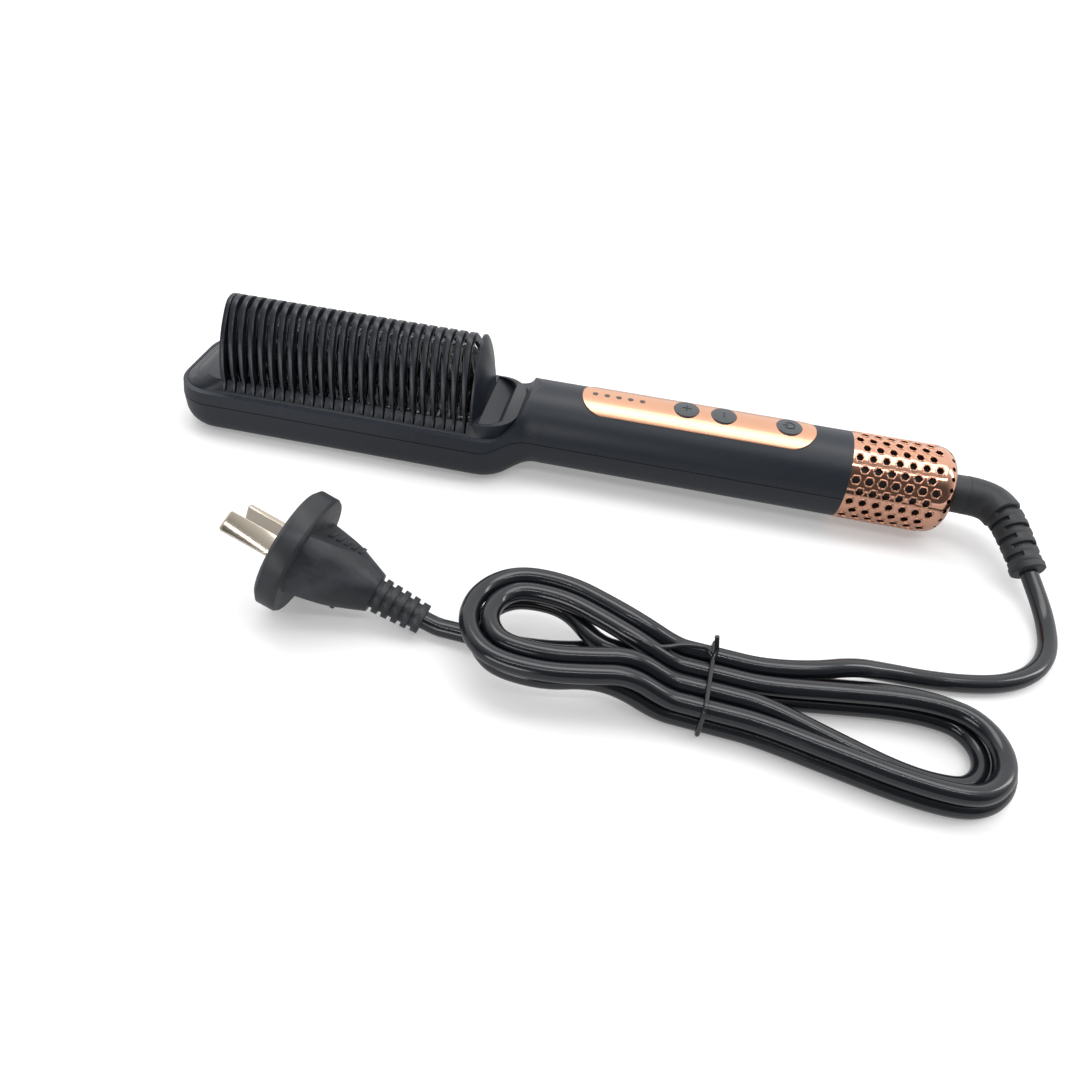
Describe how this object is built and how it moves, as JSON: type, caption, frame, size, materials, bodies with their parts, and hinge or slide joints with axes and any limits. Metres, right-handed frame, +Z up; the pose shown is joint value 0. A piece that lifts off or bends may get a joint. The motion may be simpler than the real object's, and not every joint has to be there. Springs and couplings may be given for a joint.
{
  "type": "hair straightening brush",
  "caption": "Heated hair straightening brush with a comb of blades in an arched guard, round grip with buttons, swivel cord outlet, folded cord and plug",
  "frame": {"origin": "under the middle of the brush, without its cord, on the surface it lies on", "axes": "+X from the head's tip to the tail, +Z up out of the comb, +Y across the brush"},
  "size_m": [0.3087, 0.1432, 0.0464],
  "materials": {
    "housing_plastic": "fine matte, charcoal with a cool tint",
    "guard_plastic": "satin charcoal",
    "comb_coating": "glossy black coated casting",
    "heater_casing": "extruded",
    "polyimide_film": "amber film",
    "spring_steel": "rolled",
    "shield_sheet": "rolled sheet",
    "sensor_bead": "epoxy",
    "fuse_casing": "drawn",
    "screw_steel": "zinc plated",
    "panel_finish": "satin metallic rose gold",
    "button_plastic": "dark grey",
    "stem_plastic": "natural",
    "switch_casing": "black",
    "diode_casing": "white",
    "lens_plastic": "milky",
    "board_laminate": "green solder mask",
    "chip_epoxy": "black",
    "capacitor_casing": "box",
    "lead_insulation": "silicone",
    "cage_plating": "mirror rose gold plating",
    "core_plastic": "black",
    "ring_brass": "turned",
    "outlet_rubber": "satin black",
    "cord_jacket": "glossy black",
    "plug_moulding": "satin black",
    "insert_plastic": "black",
    "blade_metal": "nickel plated"
  },
  "bodies": {
    "housing": {"back_shell": "housing_plastic", "front_shell": "housing_plastic", "comb_guard": "guard_plastic", "heating_comb": "comb_coating", "ptc_heater": "heater_casing", "heater_insulator": "polyimide_film", "heater_clamp": "spring_steel", "contact_springs": "spring_steel", "twist_tie": "spring_steel", "heat_shield": "shield_sheet", "thermistor": "sensor_bead", "thermal_fuse": "fuse_casing", "guard_screws": "screw_steel", "shell_screws": "screw_steel", "board_screws": "screw_steel", "control_panel": "panel_finish", "tact_switches": "switch_casing", "leds": "diode_casing", "light_guide": "lens_plastic", "circuit_board": "board_laminate", "control_chip": "chip_epoxy", "triac": "chip_epoxy", "film_capacitor": "capacitor_casing", "heater_leads": "lead_insulation", "sensor_leads": "lead_insulation", "mains_leads": "lead_insulation", "perforated_cage": "cage_plating", "tail_core": "core_plastic", "swivel_housing": "core_plastic", "swivel_cap": "core_plastic", "cord_sleeve": "outlet_rubber", "cord_lead": "cord_jacket", "cord_hank": "cord_jacket", "cord_plug_lead": "cord_jacket", "plug_body": "plug_moulding", "plug_insert": "insert_plastic", "plug_blades": "blade_metal"},
    "plus_key": {"plus_button": "button_plastic", "plus_stem": "stem_plastic"},
    "minus_key": {"minus_button": "button_plastic", "minus_stem": "stem_plastic"},
    "power_key": {"power_button": "button_plastic", "power_stem": "stem_plastic"},
    "cord_outlet": {"swivel_hub": "core_plastic", "slip_rings": "ring_brass", "swivel_clip": "spring_steel", "swivel_collar": "outlet_rubber"}
  },
  "joints": [
    {"name": "plus_press", "type": "slide", "parent": "housing", "child": "plus_key", "axis": [0, 0, -1], "range_m": [0, 0.0005], "stiffness_N_per_m": 800, "springref_m": -0.0004},
    {"name": "minus_press", "type": "slide", "parent": "housing", "child": "minus_key", "axis": [0, 0, -1], "range_m": [0, 0.0005], "stiffness_N_per_m": 800, "springref_m": -0.0004},
    {"name": "power_press", "type": "slide", "parent": "housing", "child": "power_key", "axis": [0, 0, -1], "range_m": [0, 0.0005], "stiffness_N_per_m": 800, "springref_m": -0.0004},
    {"name": "cord_swivel", "type": "hinge", "parent": "housing", "child": "cord_outlet", "pos_m": [0.12, 0, 0.016], "axis": [1, 0, 0], "continuous": true}
  ]
}
